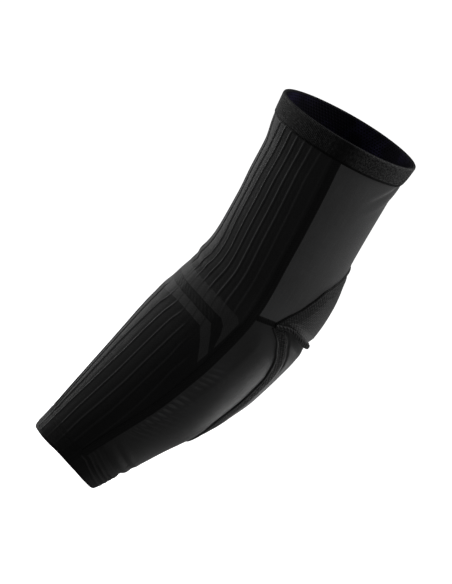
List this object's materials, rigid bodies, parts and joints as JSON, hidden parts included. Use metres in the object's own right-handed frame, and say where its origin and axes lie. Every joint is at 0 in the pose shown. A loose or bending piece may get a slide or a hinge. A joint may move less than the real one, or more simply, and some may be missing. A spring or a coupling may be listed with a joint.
{
  "type": "padded elbow sleeve",
  "caption": "Bent compression arm sleeve with a ribbed knit front, smooth rear panels and a padded cover over the elbow point, open at the upper arm and the wrist.",
  "frame": {"origin": "centre of the elbow hinge, on the middle plane of the sleeve", "axes": "+Z along the upper arm towards the shoulder opening, +X towards the elbow point, -X towards the inside of the elbow, -Y one side and +Y the other"},
  "size_m": [0.1348, 0.0992, 0.3044],
  "materials": {
    "ribbed_knit": "matte black knit with raised lengthwise ribs and tonal chevron bands at the inside of the elbow",
    "satin_lycra": "smooth stretch jersey with a soft satin sheen",
    "cuff_knit": "fine plain knit band",
    "seam_thread": "flatlock stitching",
    "abrasion_cloth": "coarse textured abrasion-resistant weave",
    "piping": "stitched cord edge",
    "mesh_lining": "open mesh, dark with a violet cast",
    "foam": "closed-cell foam"
  },
  "bodies": {
    "upper_arm_sleeve": {"upper_cuff_band": "cuff_knit", "upper_mesh_lining": "mesh_lining", "biceps_knit_panel": "ribbed_knit", "triceps_panel": "satin_lycra", "upper_seam_near": "seam_thread", "upper_seam_far": "seam_thread", "elbow_cover_upper": "abrasion_cloth", "cover_piping_upper": "piping", "elbow_pad_upper": "foam", "pad_liner_upper": "mesh_lining", "elbow_crease_knit": "ribbed_knit", "elbow_side_near": "satin_lycra", "elbow_side_far": "satin_lycra", "elbow_fold_cover": "abrasion_cloth", "elbow_seam_near": "seam_thread", "elbow_seam_far": "seam_thread"},
    "forearm_sleeve": {"forearm_knit_panel": "ribbed_knit", "forearm_side_panel": "satin_lycra", "lower_seam_near": "seam_thread", "lower_seam_far": "seam_thread", "elbow_cover_lower": "abrasion_cloth", "cover_piping_lower": "piping", "elbow_pad_lower": "foam", "forearm_pad": "foam", "pad_liner_lower": "mesh_lining", "wrist_cuff_band": "cuff_knit"}
  },
  "joints": [
    {"name": "elbow_bend", "type": "hinge", "parent": "upper_arm_sleeve", "child": "forearm_sleeve", "pos_m": [0, 0, 0], "axis": [0, 1, 0], "range_deg": [-22, 90], "deforming": ["elbow_crease_knit", "elbow_side_near", "elbow_side_far", "elbow_fold_cover", "elbow_seam_near", "elbow_seam_far"]}
  ]
}
